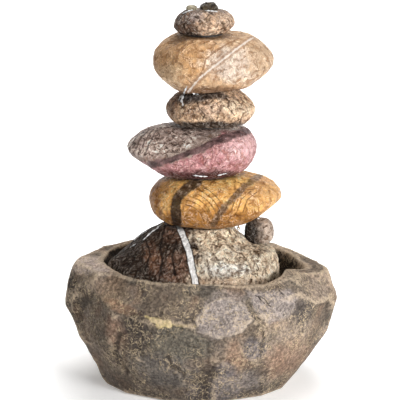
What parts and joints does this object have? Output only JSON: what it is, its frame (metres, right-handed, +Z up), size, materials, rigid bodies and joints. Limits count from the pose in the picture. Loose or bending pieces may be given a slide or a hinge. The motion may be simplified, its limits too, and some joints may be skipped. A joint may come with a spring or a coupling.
{
  "type": "tabletop water fountain",
  "caption": "Stacked cast stones over a hollow base stone in a rough rock basin, with a submersible pump and riser that let water run down the stones.",
  "frame": {"origin": "on the ground under the middle of the basin", "axes": "+Z up, -Y towards the viewer at the front, +X to the viewer's right"},
  "size_m": [0.2521, 0.2352, 0.3578],
  "materials": {
    "basin_rock": "rough cast rock, matt",
    "veined_stone": "wet glossy cast stone with a white vein",
    "ochre_stone": "wet glossy cast stone",
    "rose_stone": "wet glossy cast stone",
    "brown_stone": "wet glossy cast stone",
    "tan_stone": "wet glossy cast stone",
    "crown_stone": "wet glossy cast stone",
    "grey_pebble": "wet cast stone",
    "dark_rock": "wet cast stone",
    "pale_pebble": "wet cast stone",
    "dark_sealant": "cured silicone, satin",
    "foot_pad": "matt",
    "black_rubber": "matt",
    "pump_plastic": "fine moulded grain",
    "dial_plastic": "glossy moulded",
    "impeller_plastic": "glossy moulded",
    "ferrite": "ground magnet",
    "white_ceramic": "polished shaft",
    "core_steel": "laminated sheet",
    "coil_copper": "enamelled copper wire",
    "bobbin_nylon": "moulded nylon",
    "potting_resin": "cast resin",
    "clear_vinyl": "clear flexible tube",
    "nozzle_plastic": "glossy moulded"
  },
  "bodies": {
    "basin": {"basin": "basin_rock", "foot_pad_1": "foot_pad", "foot_pad_2": "foot_pad", "foot_pad_3": "foot_pad", "foot_pad_4": "foot_pad", "cable_grommet": "black_rubber", "pump_housing": "pump_plastic", "potting_plug": "potting_resin", "stator_core": "core_steel", "coil_bobbin": "bobbin_nylon", "coil_winding": "coil_copper", "pump_cable_gland": "black_rubber", "rotor_shaft": "white_ceramic", "shaft_bush_rear": "black_rubber", "shaft_bush_front": "black_rubber", "impeller_cover": "pump_plastic", "cover_gasket": "black_rubber", "suction_cup_1": "black_rubber", "suction_cup_2": "black_rubber", "suction_cup_3": "black_rubber", "suction_cup_4": "black_rubber"},
    "rotor": {"rotor_magnet": "ferrite", "impeller": "impeller_plastic"},
    "intake_cover": {"intake_cover": "pump_plastic", "dial_rivet": "pump_plastic"},
    "flow_dial": {"flow_dial": "dial_plastic"},
    "tower": {"base_stone": "veined_stone", "side_pebble": "grey_pebble", "ochre_stone": "ochre_stone", "rose_stone": "rose_stone", "brown_stone": "brown_stone", "tan_stone": "tan_stone", "crown_stone": "crown_stone", "joint_bed_1": "dark_sealant", "joint_bed_2": "dark_sealant", "joint_bed_3": "dark_sealant", "joint_bed_4": "dark_sealant", "joint_bed_5": "dark_sealant", "spout_rock": "dark_rock", "cap_pebble": "pale_pebble", "riser_tube": "clear_vinyl", "outlet_nozzle": "nozzle_plastic"}
  },
  "joints": [
    {"name": "tower_lift", "type": "slide", "parent": "basin", "child": "tower", "axis": [0, 0, 1], "range_m": [0, 0.13]},
    {"name": "rotor_spin", "type": "hinge", "parent": "basin", "child": "rotor", "pos_m": [0.006, 0, 0.035], "axis": [0, 1, 0], "continuous": true},
    {"name": "cover_pull", "type": "slide", "parent": "basin", "child": "intake_cover", "axis": [0, -1, 0], "range_m": [0, 0.02]},
    {"name": "dial_turn", "type": "hinge", "parent": "intake_cover", "child": "flow_dial", "pos_m": [0.006, -0.018, 0.035], "axis": [0, -1, 0], "range_deg": [0, 90]}
  ]
}
